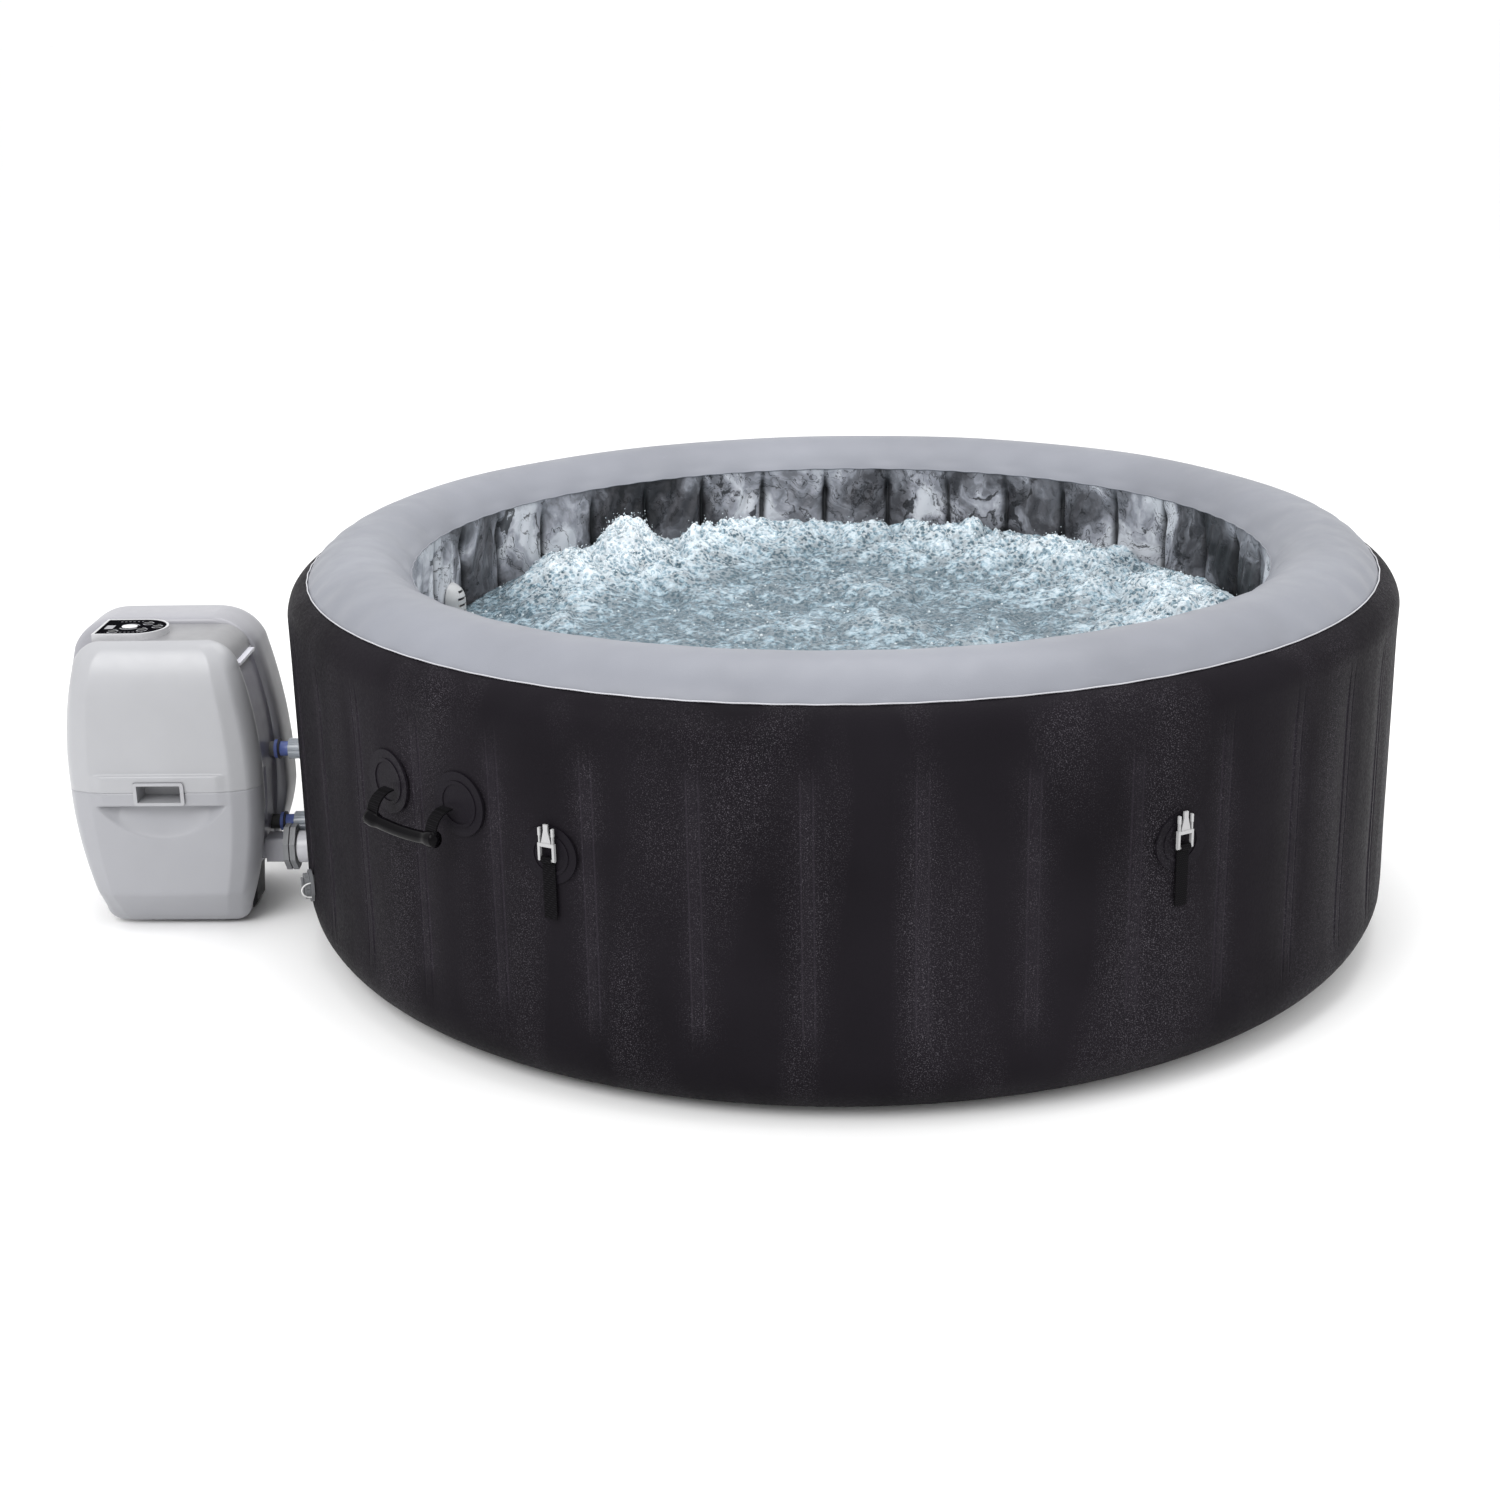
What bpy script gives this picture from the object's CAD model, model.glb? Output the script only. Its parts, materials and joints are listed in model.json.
import json
import math

import bpy
import numpy as np
from mathutils import Matrix, Vector, noise


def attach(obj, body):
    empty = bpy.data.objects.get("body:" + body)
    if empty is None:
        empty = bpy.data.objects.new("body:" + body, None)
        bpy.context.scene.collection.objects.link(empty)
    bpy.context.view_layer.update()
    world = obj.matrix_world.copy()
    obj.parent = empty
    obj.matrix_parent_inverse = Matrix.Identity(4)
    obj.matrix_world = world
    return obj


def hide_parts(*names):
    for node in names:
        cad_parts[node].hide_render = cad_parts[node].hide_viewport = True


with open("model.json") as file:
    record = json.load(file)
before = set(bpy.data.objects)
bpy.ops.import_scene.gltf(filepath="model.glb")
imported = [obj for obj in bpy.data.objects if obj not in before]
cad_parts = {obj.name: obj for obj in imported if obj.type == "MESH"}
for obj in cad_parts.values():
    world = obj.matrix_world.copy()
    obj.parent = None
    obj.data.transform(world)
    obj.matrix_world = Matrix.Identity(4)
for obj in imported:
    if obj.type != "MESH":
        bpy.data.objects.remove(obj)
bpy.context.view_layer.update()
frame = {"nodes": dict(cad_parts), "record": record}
nodes = frame["nodes"]

# --- dimensions of the tub, in metres -------------------------------------------------------------
R_OUT, R_IN = 0.900, 0.700
PANELS = 37
STEP = 2 * math.pi / PANELS
FIRST_WELD = math.radians(6.9)
SHOULDER_R, SHOULDER_Z, SHOULDER_TURN = 0.052, 0.5475, math.radians(72)
CORNER_R = 0.095
SEAM_R = R_OUT - SHOULDER_R + SHOULDER_R * math.cos(SHOULDER_TURN)
SEAM_Z = SHOULDER_Z + SHOULDER_R * math.sin(SHOULDER_TURN)
RIM_TOP = 0.644
WATER_Z, WELL_FLOOR_Z = 0.462, 0.0135

# --- dimensions of the pump unit, in metres; the two outlines in millimetres ----------------------
UNIT_X, BACK_X = -1.116, -1.136
RIM_Y, BACK_RIM_Y, BACK_Y = -0.140, 0.058, 0.104
PARTING_Z, MIDDLE_Z = 0.248, 0.25
# half outlines as (half width, height): point 0 is the widest, 1 to 4 go up from it, 5 to 8 go down
FRONT_OUTLINE = [
    (161, 246), (157, 350), (138, 448), (121, 480), (86, 494), (149, 125), (124, 34), (115, 13), (94, 4),
]
BACK_OUTLINE = [
    (186, 190), (177, 340), (154, 450), (126, 484), (84, 500), (163, 110), (120, 42), (104, 15), (76, 4),
]
# finger pocket in the front, the raised band round it, and the scoop below the band
FRONT_DEPTH = 0.0495
POCKET_LOW, POCKET_HIGH, POCKET_HALF = 0.2283, 0.2667, 0.0398
BAND_RISE, BAND_FALL, BAND_DEPTH = (0.2225, 0.2260), (0.2765, 0.2800), 0.0055
SCOOP_TOP, SCOOP_HALF, SCOOP_HEIGHT, SCOOP_DEPTH = 0.2225, 0.106, 0.055, 0.017
# louvres in the back shell
LOUVRES, LOUVRE_LOW, LOUVRE_PITCH = 9, 0.2, 0.014
LOUVRE_HEIGHT, LOUVRE_HALF, LOUVRE_DEPTH = 0.006, 0.06, 0.005
# the white end plates of the console deck lie further out and lower than this
PLATE_SIDE, PLATE_Z = 0.1238, 0.4516
HANDLE_AZIMUTHS = (-40.8, 129.3)
HANDLE_Z = 0.417
DRAIN_AZ = math.radians(-70.5)
# ports through the tub wall: azimuth, offset along the tangent, height, hole radius outside and inside
PORTS = [
    (math.radians(-90), 0.088, 0.115, 0.0255, 0.0185),
    (math.radians(-90), 0.048, 0.146, 0.0115, 0.0115),
    (math.radians(-90), 0.048, 0.277, 0.0115, 0.0115),
    (DRAIN_AZ, 0.0, 0.128, 0.0155, 0.0155),
]
OUTSIDE, INSIDE = 0, 1
PORT_PATCH = 0.031  # half size of the finer grid round a port
PORT_SNAP = 0.0013  # grid points this close to a port's circle move onto it


# --- mesh helpers ---------------------------------------------------------------------------------
def link_new(name, data):
    """A new object that holds data, linked into the scene."""
    obj = bpy.data.objects.new(name, data)
    bpy.context.scene.collection.objects.link(obj)
    return obj


def add_mesh(name, verts, faces, mat, body="tub", smooth=True, replaces=(), slot=None):
    """A mesh that rides a body and, where it stands in for CAD nodes, names them and its slot."""
    mesh = bpy.data.meshes.new(name)
    mesh.from_pydata([tuple(v) for v in verts], [], [tuple(f) for f in faces])
    mesh.validate()
    obj = link_new(name, mesh)
    if smooth:
        mesh.polygons.foreach_set("use_smooth", [True] * len(mesh.polygons))
    mesh.materials.append(mat)
    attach(obj, body)
    if replaces:
        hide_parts(*replaces)
    return obj


def set_layer(obj, name, values):
    """Stores one number per point, for the materials to read."""
    layer = obj.data.attributes.new(name, "FLOAT", "POINT")
    layer.data.foreach_set("value", np.array(values, np.float32))


def thicken(obj, thickness, offset):
    """Gives an open skin its thickness."""
    thick = obj.modifiers.new("thick", "SOLIDIFY")
    thick.thickness = thickness
    thick.offset = offset


def grid_faces(rows, cols, wrap=False, base=0):
    """Quads of a grid of rows by cols points, row after row; wrap closes the columns."""
    faces = []
    last = cols if wrap else cols - 1
    for i in range(rows - 1):
        low, high = base + i * cols, base + (i + 1) * cols
        for j in range(last):
            k = (j + 1) % cols
            faces.append((low + j, low + k, high + k, high + j))
    return faces


def ring_points(az, r, z):
    """Points at azimuths az (from -Y towards +X), with radii r and heights z."""
    return np.stack([r * np.sin(az), -r * np.cos(az), z], -1)


def weld_samples(fine, coarse, half):
    """Azimuths round the tub, dense within half (an angle) of each weld."""
    out = []
    for n in range(PANELS):
        centre = FIRST_WELD + n * STEP
        out += list(centre + np.linspace(-half, half, fine, endpoint=False))
        out += list(centre + np.linspace(half, STEP - half, coarse, endpoint=False))
    return np.array(out)


def to_weld(az):
    """Signed angle to the nearest weld."""
    return (az - FIRST_WELD + STEP / 2) % STEP - STEP / 2


def smoothstep(x, a, b):
    """A smooth rise from 0 at a to 1 at b."""
    t = np.clip((x - a) / (b - a), 0, 1)
    return t * t * (3 - 2 * t)


def window(x, a, b, c, d):
    """Rises from 0 to 1 between a and b and falls back to 0 between c and d."""
    return smoothstep(x, a, b) * (1 - smoothstep(x, c, d))


def wave(az, seed, terms=9):
    """A smooth pseudo-random wave round the tub, from -1 to 1."""
    rng = np.random.default_rng(seed)
    total = np.zeros_like(az)
    for k in range(2, 2 + terms):
        total = total + rng.normal() * np.sin(k * az + rng.uniform(0, 6.28)) / math.sqrt(k)
    return total / (np.abs(total).max() + 1e-9)


# --- material helpers -----------------------------------------------------------------------------
class Mat:
    """A small builder of node materials."""

    def __init__(self, name, base=(0.5, 0.5, 0.5), rough=0.5, **sockets):
        self.mat = bpy.data.materials.new(name)
        self.mat.use_nodes = True
        self.tree = self.mat.node_tree
        self.shader = self.tree.nodes["Principled BSDF"]
        self.shader.inputs["Base Color"].default_value = (*base, 1)
        self.shader.inputs["Roughness"].default_value = rough
        for key, value in sockets.items():
            self.shader.inputs[key.replace("_", " ")].default_value = value
        self.coord = self.node("ShaderNodeTexCoord").outputs["Object"]

    def node(self, kind, **props):
        made = self.tree.nodes.new(kind)
        for key, value in props.items():
            setattr(made, key, value)
        return made

    def link(self, a, b):
        self.tree.links.new(a, b)

    def stretch(self, scale, rotation=(0, 0, 0), source=None):
        made = self.node("ShaderNodeMapping")
        made.inputs["Scale"].default_value = scale
        made.inputs["Rotation"].default_value = rotation
        self.link(source or self.coord, made.inputs["Vector"])
        return made.outputs["Vector"]

    def noise(self, scale, detail=3.0, rough=0.5, distort=0.0, vector=None):
        made = self.node("ShaderNodeTexNoise")
        made.inputs["Scale"].default_value = scale
        made.inputs["Detail"].default_value = detail
        made.inputs["Roughness"].default_value = rough
        made.inputs["Distortion"].default_value = distort
        self.link(vector or self.coord, made.inputs["Vector"])
        return made.outputs["Fac"]

    def cells(self, scale, vector=None):
        made = self.node("ShaderNodeTexVoronoi", feature="F1")
        made.inputs["Scale"].default_value = scale
        self.link(vector or self.coord, made.inputs["Vector"])
        return made.outputs["Distance"]

    def remap(self, value, a, b, c=0.0, d=1.0):
        made = self.node("ShaderNodeMapRange")
        for key, number in (("From Min", a), ("From Max", b), ("To Min", c), ("To Max", d)):
            made.inputs[key].default_value = number
        self.link(value, made.inputs["Value"])
        return made.outputs["Result"]

    def math(self, op, a, b):
        made = self.node("ShaderNodeMath", operation=op)
        for k, value in enumerate((a, b)):
            if isinstance(value, (int, float)):
                made.inputs[k].default_value = value
            else:
                self.link(value, made.inputs[k])
        return made.outputs[0]

    def mix(self, fac, a, b):
        made = self.node("ShaderNodeMix", data_type="RGBA")
        for key, value in ((0, fac), (6, a), (7, b)):
            if isinstance(value, tuple):
                made.inputs[key].default_value = (*value, 1)
            elif isinstance(value, (int, float)):
                made.inputs[key].default_value = value
            else:
                self.link(value, made.inputs[key])
        return made.outputs[2]

    def ramp(self, value, stops):
        made = self.node("ShaderNodeValToRGB")
        ramp = made.color_ramp
        while len(ramp.elements) < len(stops):
            ramp.elements.new(0.5)
        for element, (place, colour) in zip(ramp.elements, stops):
            element.position = place
            element.color = (*colour, 1)
        self.link(value, made.inputs["Fac"])
        return made.outputs["Color"]

    def colour(self, output):
        self.link(output, self.shader.inputs["Base Color"])
        return self

    def rough(self, output):
        self.link(output, self.shader.inputs["Roughness"])
        return self

    def bump(self, height, distance, strength=1.0):
        made = self.node("ShaderNodeBump")
        made.inputs["Distance"].default_value = distance
        made.inputs["Strength"].default_value = strength
        self.link(height, made.inputs["Height"])
        if self.shader.inputs["Normal"].is_linked:
            self.link(self.shader.inputs["Normal"].links[0].from_socket, made.inputs["Normal"])
        self.link(made.outputs["Normal"], self.shader.inputs["Normal"])
        return self


def tint(base, factor, lift=0.0):
    """A colour made lighter or darker, no channel above 1."""
    return tuple(min(1, c * factor + lift) for c in base)


def plastic(name, base, rough=0.4, grain=900.0, grain_depth=0.00003, mottle=0.06, **sockets):
    """Moulded plastic: faint colour drift, fine grain, uneven gloss."""
    m = Mat(name, base, rough, **sockets)
    drift = m.noise(14, 4)
    m.colour(m.mix(m.remap(drift, 0.3, 0.7), tint(base, 1 - mottle), tint(base, 1 + mottle)))
    m.rough(m.remap(m.noise(60, 3), 0.3, 0.7, rough * 0.88, rough * 1.12))
    m.bump(m.noise(grain, 2), grain_depth)
    return m.mat


def leather_pvc(name, base, rough, sparkle=0.5, gloss=0.22):
    """Laminated PVC with a fine leather grain that glitters in tall patches."""
    m = Mat(name, base, rough, Specular_IOR_Level=gloss)
    drift = m.noise(3.0, 3)
    specks = m.remap(m.noise(720, 1, 0.6), 0.57, 0.72)
    tone = m.mix(m.remap(drift, 0.35, 0.65), tint(base, 0.80), tint(base, 1.2))
    patches = m.remap(m.noise(8.0, 1, 0.5, vector=m.stretch((1, 1, 0.22))), 0.46, 0.68, 0.0, sparkle)
    weld = m.node("ShaderNodeAttribute", attribute_name="weld").outputs["Fac"]
    band = m.math("MULTIPLY", weld, m.remap(m.noise(16, 4, 0.6), 0.35, 0.6, 0.25, 1.0))
    glitter = m.math("MULTIPLY", specks, m.math("MAXIMUM", patches, band))
    lit = m.mix(glitter, tone, tint(base, 7, 0.05))
    m.colour(m.mix(m.math("MULTIPLY", m.math("POWER", weld, 3.0), 0.6), lit, tint(base, 5)))
    m.rough(m.remap(m.noise(210, 2), 0.3, 0.7, rough * 0.82, rough * 1.18))
    m.bump(m.cells(430), 0.00022, 0.9)
    m.bump(m.noise(30, 4, 0.6), 0.0007, 0.35)
    return m.mat


def rim_pvc(name, base):
    """Matt grey PVC of the rim: even tone, faint cloudy sheen, very fine grain."""
    m = Mat(name, base, 0.42, Specular_IOR_Level=0.25)
    tone = m.mix(m.remap(m.noise(2.2, 4, 0.6), 0.3, 0.7), tint(base, 0.88), tint(base, 1.14))
    scuffs = m.remap(m.noise(34, 6, 0.7, vector=m.stretch((1, 1, 3))), 0.62, 0.80, 0.0, 0.35)
    m.colour(m.mix(scuffs, tone, tint(base, 1.25)))
    m.rough(m.remap(m.noise(22, 4), 0.3, 0.7, 0.36, 0.5))
    m.bump(m.cells(620), 0.00012, 0.7)
    m.bump(m.noise(24, 4, 0.6), 0.0008, 0.3)
    return m.mat


def webbing(name, base, rough=0.75, pitch=620.0):
    """Woven strap: raised ribs across a twill of threads."""
    m = Mat(name, base, rough, Specular_IOR_Level=0.05)
    ribs = m.node("ShaderNodeTexWave", bands_direction="Z")
    ribs.inputs["Scale"].default_value = pitch / 6.28
    m.link(m.coord, ribs.inputs["Vector"])
    twill = m.node("ShaderNodeTexWave", bands_direction="DIAGONAL")
    twill.inputs["Scale"].default_value = pitch / 4.1
    m.link(m.coord, twill.inputs["Vector"])
    weave = m.math("MULTIPLY", ribs.outputs["Fac"], twill.outputs["Fac"])
    m.colour(m.mix(weave, tint(base, 0.55), tint(base, 2.2)))
    m.bump(weave, 0.0005, 0.8)
    m.bump(m.noise(1100, 2), 0.0002, 0.6)
    return m.mat


def marble(name):
    """Printed liner: soft clouds of light, mid and dark grey, torn dark veins, fine spots."""
    m = Mat(name, (0.2, 0.2, 0.21), 0.3, Specular_IOR_Level=0.4)
    warped = m.node("ShaderNodeVectorMath", operation="ADD")
    shift = m.node("ShaderNodeTexNoise")
    shift.inputs["Scale"].default_value = 4.2
    shift.inputs["Detail"].default_value = 6
    m.link(m.coord, shift.inputs["Vector"])
    scaled = m.node("ShaderNodeVectorMath", operation="SCALE")
    scaled.inputs["Scale"].default_value = 0.42
    m.link(shift.outputs["Color"], scaled.inputs[0])
    m.link(m.stretch((1, 1, 0.8), (0.5, 0.3, 0.2)), warped.inputs[0])
    m.link(scaled.outputs[0], warped.inputs[1])
    at = warped.outputs[0]
    clouds = m.noise(4.6, 5, 0.58, 0.6, vector=at)
    greys = [
        (0.34, (0.012, 0.012, 0.014)),
        (0.43, (0.060, 0.060, 0.068)),
        (0.49, (0.155, 0.16, 0.18)),
        (0.54, (0.31, 0.32, 0.36)),
        (0.59, (0.54, 0.56, 0.60)),
    ]
    tone = m.ramp(clouds, greys)
    veins = m.noise(7.5, 5, 0.6, 1.4, vector=at)
    line = m.math("ABSOLUTE", m.math("SUBTRACT", veins, 0.5), 0.0)
    vein_mask = m.remap(line, 0.0, 0.014, 0.9, 0.0)
    tears = m.remap(m.noise(13, 6, 0.66, 1.0, vector=at), 0.60, 0.63, 0.0, 0.85)
    spots = m.remap(m.noise(95, 2, vector=at), 0.72, 0.77, 0.0, 0.8)
    dark = m.math("MAXIMUM", vein_mask, m.math("MAXIMUM", tears, spots))
    shade = m.node("ShaderNodeAttribute", attribute_name="pleat").outputs["Fac"]
    printed = m.mix(dark, tone, (0.006, 0.0055, 0.0065))
    m.colour(m.mix(m.remap(shade, 0.22, 0.95, 0.0, 0.9), printed, (0.004, 0.004, 0.0045)))
    m.rough(m.remap(m.noise(40, 3), 0.3, 0.7, 0.24, 0.4))
    m.bump(m.noise(18, 4, 0.6, 0.5), 0.002, 0.5)
    m.bump(m.noise(350, 2), 0.00008)
    return m.mat


def water_material():
    """Bubbling water: teal where calm, glassy white where it is full of air."""
    m = Mat("water_foam", (0.2, 0.3, 0.33), 0.08, IOR=1.33, Specular_IOR_Level=0.9)
    foam = m.node("ShaderNodeAttribute", attribute_name="foam").outputs["Fac"]
    broad = m.noise(24, 7, 0.72, 0.6)
    fine = m.noise(75, 4, 0.6, 0.6)
    mixed = m.math("ADD", m.math("MULTIPLY", broad, 0.6), m.math("MULTIPLY", fine, 0.4))
    level = m.math("ADD", m.remap(mixed, 0.40, 0.60), m.remap(foam, 0.0, 1.0, -0.46, 0.32))
    teals = [
        (0.03, (0.050, 0.095, 0.125)),
        (0.22, (0.150, 0.235, 0.290)),
        (0.45, (0.29, 0.40, 0.47)),
        (0.74, (0.42, 0.53, 0.60)),
        (0.97, (0.72, 0.81, 0.87)),
    ]
    tone = m.ramp(level, teals)
    bubbles = m.cells(125)
    rings = m.remap(bubbles, 0.40, 0.58, 0.0, 0.7)
    gaps = m.remap(m.noise(34, 3, 0.55, 0.8), 0.34, 0.46, 0.5, 0.0)
    tone = m.mix(gaps, tone, (0.045, 0.085, 0.105))
    glints = m.remap(m.noise(130, 2, 0.6, 0.5), 0.62, 0.68, 0.0, 1.0)
    whites = m.math("MULTIPLY", m.math("MAXIMUM", glints, rings), m.remap(foam, 0.05, 0.8, 0.16, 1.0))
    m.colour(m.mix(whites, tone, (0.93, 0.97, 1.0)))
    m.rough(m.remap(level, 0.0, 1.0, 0.04, 0.22))
    m.bump(broad, 0.014, 1.0)
    m.bump(fine, 0.003, 0.8)
    m.bump(bubbles, 0.0018, 0.6)
    return m.mat


def deck_plastic(name, base, plate, rough):
    """Moulded plastic with end plates of another colour, low down and far from the middle."""
    m = Mat(name, base, rough)
    split = m.node("ShaderNodeSeparateXYZ")
    m.link(m.coord, split.inputs[0])
    off_middle = m.math("ABSOLUTE", m.math("SUBTRACT", split.outputs["X"], UNIT_X), 0.0)
    side = m.math("GREATER_THAN", off_middle, PLATE_SIDE)
    below = m.math("LESS_THAN", split.outputs["Z"], PLATE_Z)
    plain = m.mix(m.remap(m.noise(14, 4), 0.3, 0.7), tint(base, 0.97), tint(base, 1.03))
    m.colour(m.mix(m.math("MULTIPLY", side, below), plain, plate))
    m.rough(m.remap(m.noise(60, 3), 0.3, 0.7, rough * 0.88, rough * 1.12))
    m.bump(m.noise(900, 2), 0.00003)
    return m.mat


PUMP_SHELL = {"grain": 420.0, "grain_depth": 0.00001, "mottle": 0.02}
MATS = {
    "wall_black": leather_pvc("pvc_wall", (0.0094, 0.0082, 0.0104), 0.5, 0.75, 0.02),
    "patch_black": leather_pvc("pvc_patch", (0.0085, 0.0073, 0.0098), 0.42, 0.3, 0.04),
    "base_grey": leather_pvc("pvc_base", (0.12, 0.12, 0.125), 0.6, 0.1),
    "beam_grey": plastic("pvc_beam", (0.4, 0.4, 0.42), 0.5),
    "rim_grey": rim_pvc("pvc_rim", (0.197, 0.205, 0.232)),
    "seam_pale": plastic("pvc_seam", (0.42, 0.42, 0.45), 0.3),
    "liner_marbled": marble("pvc_liner"),
    "channel_grey": plastic("pvc_channel", (0.15, 0.15, 0.16), 0.4),
    "handle_black": plastic("handle_black", (0.0030, 0.0027, 0.0034), 0.16, Specular_IOR_Level=0.05),
    "webbing_black": webbing("webbing_black", (0.0045, 0.0042, 0.005)),
    "clip_grey": plastic("nylon_clip", (0.36, 0.36, 0.365), 0.35),
    "valve_grey": plastic("valve_grey", (0.13, 0.134, 0.142), 0.34),
    "tether_white": plastic("tether_white", (0.72, 0.72, 0.72), 0.35),
    "port_grey": plastic("port_grey", (0.22, 0.24, 0.25), 0.35),
    "nut_grey": plastic("nut_grey", (0.55, 0.60, 0.66), 0.12, Transmission_Weight=0.35, IOR=1.45),
    "clear_blue": plastic("clear_blue", (0.20, 0.27, 0.66), 0.07, Transmission_Weight=0.3, IOR=1.5),
    "hose_grey": plastic("hose_grey", (0.12, 0.12, 0.12), 0.6),
    "duct_grey": plastic("duct_grey", (0.24, 0.24, 0.265), 0.36),
    "clamp_grey": plastic("clamp_grey", (0.20, 0.205, 0.215), 0.42),
    "port_white": plastic("port_white", (0.50, 0.50, 0.53), 0.3),
    "flap_black": plastic("flap_black", (0.02, 0.02, 0.02), 0.6),
    "filter_white": plastic("filter_white", (0.42, 0.43, 0.44), 0.36),
    "cartridge_white": plastic("cartridge_white", (0.7, 0.7, 0.68), 0.8),
    "pump_grey": plastic("pump_grey", (0.285, 0.288, 0.308), 0.33, **PUMP_SHELL),
    "pump_white": plastic("pump_white", (0.326, 0.329, 0.345), 0.33, **PUMP_SHELL),
    "pump_back_grey": plastic("pump_back_grey", (0.295, 0.295, 0.32), 0.33, mottle=0.02),
    "deck_grey": deck_plastic("deck_grey", (0.225, 0.225, 0.235), (0.62, 0.62, 0.68), 0.34),
    "frame_grey": plastic("frame_grey", (0.245, 0.24, 0.285), 0.38),
    "base_black": plastic("base_black", (0.018, 0.018, 0.02), 0.55),
    "screw_steel": plastic("screw_steel", (0.35, 0.35, 0.35), 0.3, Metallic=1.0),
    "bezel_white": plastic("bezel_white", (0.46, 0.46, 0.475), 0.26, mottle=0.02),
    "panel_black": plastic("panel_black", (0.004, 0.004, 0.005), 0.25, mottle=0.1, Specular_IOR_Level=0.0),
    "key_white": plastic("key_white", (0.70, 0.70, 0.72), 0.2, mottle=0.02),
    "key_grey": plastic("key_grey", (0.014, 0.014, 0.016), 0.25, Specular_IOR_Level=0.1),
    "inner_black": plastic("inner_black", (0.03, 0.03, 0.03), 0.5),
    "motor_grey": plastic("motor_grey", (0.2, 0.2, 0.2), 0.4),
    "heater_steel": plastic("heater_steel", (0.55, 0.55, 0.55), 0.25, Metallic=1.0),
    "box_white": plastic("box_white", (0.6, 0.6, 0.6), 0.5),
}
for part in frame["record"]["subparts"]:
    for holder in nodes[part["node"]].material_slots:
        holder.material = MATS[part["material_slot"]]


# --- tub skins ------------------------------------------------------------------------------------
def port_samples(az, heights, radius):
    """Azimuths and heights with extra grid lines round each port."""
    near = np.linspace(-PORT_PATCH, PORT_PATCH, 28)
    turns, rises = [az], [heights]
    for turn, offset, z, *_ in PORTS:
        fresh = turn + math.asin(offset / radius) + near / radius
        turns.append((fresh - az[0]) % (2 * math.pi) + az[0])
        rises.append(z + near)
    rises = np.concatenate(rises)
    inside = (rises >= heights[0]) & (rises <= heights[-1])
    return np.unique(np.round(np.concatenate(turns), 5)), np.unique(np.round(rises[inside], 5))


def open_ports(pts, faces, side):
    """Snaps the grid to the circle of each port and drops the faces inside it."""
    faces = np.array(faces)
    far = 9.0  # stands for the distance of points on the tub's other side
    for turn, offset, z, *sizes in PORTS:
        tangent = np.array([math.cos(turn), math.sin(turn), 0])
        outward = np.array([math.sin(turn), -math.cos(turn), 0])
        across, rise = pts @ tangent - offset, pts[:, 2] - z
        away = np.where(pts @ outward > 0, np.hypot(across, rise), far)
        near = np.abs(away - sizes[side]) < PORT_SNAP
        pull = (sizes[side] / away[near] - 1)[:, None]
        pts[near] += pull * (across[near][:, None] * tangent + rise[near][:, None] * np.array([0, 0, 1]))
        centre = pts[faces].mean(1)
        gap = np.where(centre @ outward > 0, np.hypot(centre @ tangent - offset, centre[:, 2] - z), far)
        faces = faces[gap > sizes[side]]
    return faces.tolist()


def arc_profile(r, z, radius, angles):
    """Points of an arc about (r, z)."""
    return [(r + radius * math.cos(t), z + radius * math.sin(t)) for t in angles]


def outer_wall():
    """The inflated wall: panels bulge a little between pairs of weld lines that fade out at both ends."""
    side = np.linspace(CORNER_R, SHOULDER_Z, 46, endpoint=False)
    az, heights = port_samples(weld_samples(26, 9, 0.019), side, R_OUT)
    corner = np.radians(np.linspace(-90, 0, 22, endpoint=False))
    profile = arc_profile(R_OUT - CORNER_R, CORNER_R, CORNER_R, corner)
    profile += [(R_OUT, z) for z in heights]
    profile += arc_profile(R_OUT - SHOULDER_R, SHOULDER_Z, SHOULDER_R, np.linspace(0, SHOULDER_TURN, 20))
    # a pair of weld lines 8.5 mm either side of each weld, the flat tape between them, the bulge beyond
    off = to_weld(az) * R_OUT
    line = np.exp(-((np.abs(off) - 0.0085) / 0.0015) ** 2)
    tape = 1 - smoothstep(np.abs(off), 0.0075, 0.0125)
    bulge = np.cos(np.clip(off / (STEP * R_OUT / 2), -1, 1) * math.pi)
    puff = wave(az, 3)
    verts, weld = [], []
    for r, z in profile:
        # how far up and down the wall the welds reach and the panels swell
        reach = window(z, 0.085, 0.155, 0.485, 0.555)
        swell = window(z, 0.03, 0.2, 0.46, 0.59)
        ripple = 0.0005 * np.sin(az * 260 + 9 * z) * wave(az, 21) * swell
        # grooves 2.4 mm deep, the tape 1 mm proud, the wall drawn in by 4 mm towards each weld
        depth = -0.0024 * line * reach + 0.0010 * tape * reach - 0.0040 * (0.5 + 0.5 * bulge) ** 2 * swell
        verts.append(ring_points(az, r + depth + ripple + 0.0012 * puff * swell, np.full_like(az, z)))
        weld.append(reach * np.maximum(line, 0.55 * np.exp(-(off / 0.026) ** 2)))
    pts = np.concatenate(verts)
    faces = open_ports(pts, grid_faces(len(verts), len(az), True), OUTSIDE)
    obj = add_mesh("wall_outer", pts, faces, MATS["wall_black"], replaces=["outer_wall"], slot="wall_black")
    set_layer(obj, "weld", np.concatenate(weld))


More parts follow.
